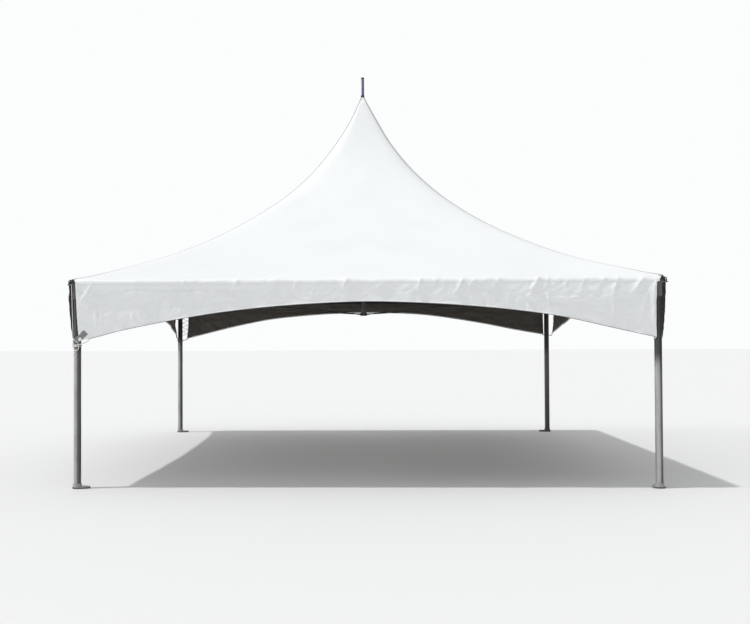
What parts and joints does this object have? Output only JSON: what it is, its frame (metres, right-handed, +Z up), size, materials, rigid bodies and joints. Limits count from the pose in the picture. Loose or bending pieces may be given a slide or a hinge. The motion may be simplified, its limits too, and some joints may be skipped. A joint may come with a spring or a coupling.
{
  "type": "high peak marquee tent",
  "caption": "Square high peak marquee tent: white vinyl top on round legs and eave rails, arched valances, and a centre mast standing on crossed cables.",
  "frame": {"origin": "on the ground, under the mast, in the middle of the four feet", "axes": "+Z up; the front, as pictured, faces -Y; +X to its right"},
  "size_m": [6.128, 6.128, 4.98],
  "materials": {
    "aluminium_tube": "mill finish tube, satin, handled",
    "galvanised_steel": "welded and galvanised, dull",
    "wire_rope": "stranded wire rope, weathered",
    "blue_paint": "slate blue paint, semi-gloss",
    "black_plastic": "moulded, matt",
    "white_vinyl": "PVC coated polyester, blockout, semi-matt white outside",
    "white_cord": "braided cord, white, slightly soiled",
    "grey_webbing": "woven polyester webbing, grey, matt"
  },
  "bodies": {
    "root": {"leg_front_left": "aluminium_tube", "leg_front_right": "aluminium_tube", "leg_back_left": "aluminium_tube", "leg_back_right": "aluminium_tube", "foot_front_left": "galvanised_steel", "foot_front_right": "galvanised_steel", "foot_back_left": "galvanised_steel", "foot_back_right": "galvanised_steel", "corner_fitting_front_left": "galvanised_steel", "corner_fitting_front_right": "galvanised_steel", "corner_fitting_back_left": "galvanised_steel", "corner_fitting_back_right": "galvanised_steel", "corner_ring_front_left": "galvanised_steel", "corner_ring_front_right": "galvanised_steel", "corner_ring_back_left": "galvanised_steel", "corner_ring_back_right": "galvanised_steel", "eave_rail_front": "aluminium_tube", "eave_rail_right": "aluminium_tube", "eave_rail_back": "aluminium_tube", "eave_rail_left": "aluminium_tube", "mast_pole": "aluminium_tube", "mast_tip": "blue_paint", "mast_cap": "black_plastic", "mast_base": "galvanised_steel", "peak_collar": "black_plastic", "cross_cable_front_left": "wire_rope", "cross_cable_front_right": "wire_rope", "cross_cable_back_left": "wire_rope", "cross_cable_back_right": "wire_rope", "roof_panel_front": "white_vinyl", "roof_panel_right": "white_vinyl", "roof_panel_back": "white_vinyl", "roof_panel_left": "white_vinyl", "valance_front": "white_vinyl", "valance_right": "white_vinyl", "valance_back": "white_vinyl", "valance_left": "white_vinyl", "corner_cord_front_left": "white_cord", "corner_cord_front_right": "white_cord", "corner_cord_back_left": "white_cord", "corner_cord_back_right": "white_cord", "lacing_cord_back_left": "white_cord", "drop_cord_front_left": "white_cord", "tie_cord_back_left": "white_cord", "webbing_strap_front_left": "grey_webbing"}
  },
  "joints": []
}
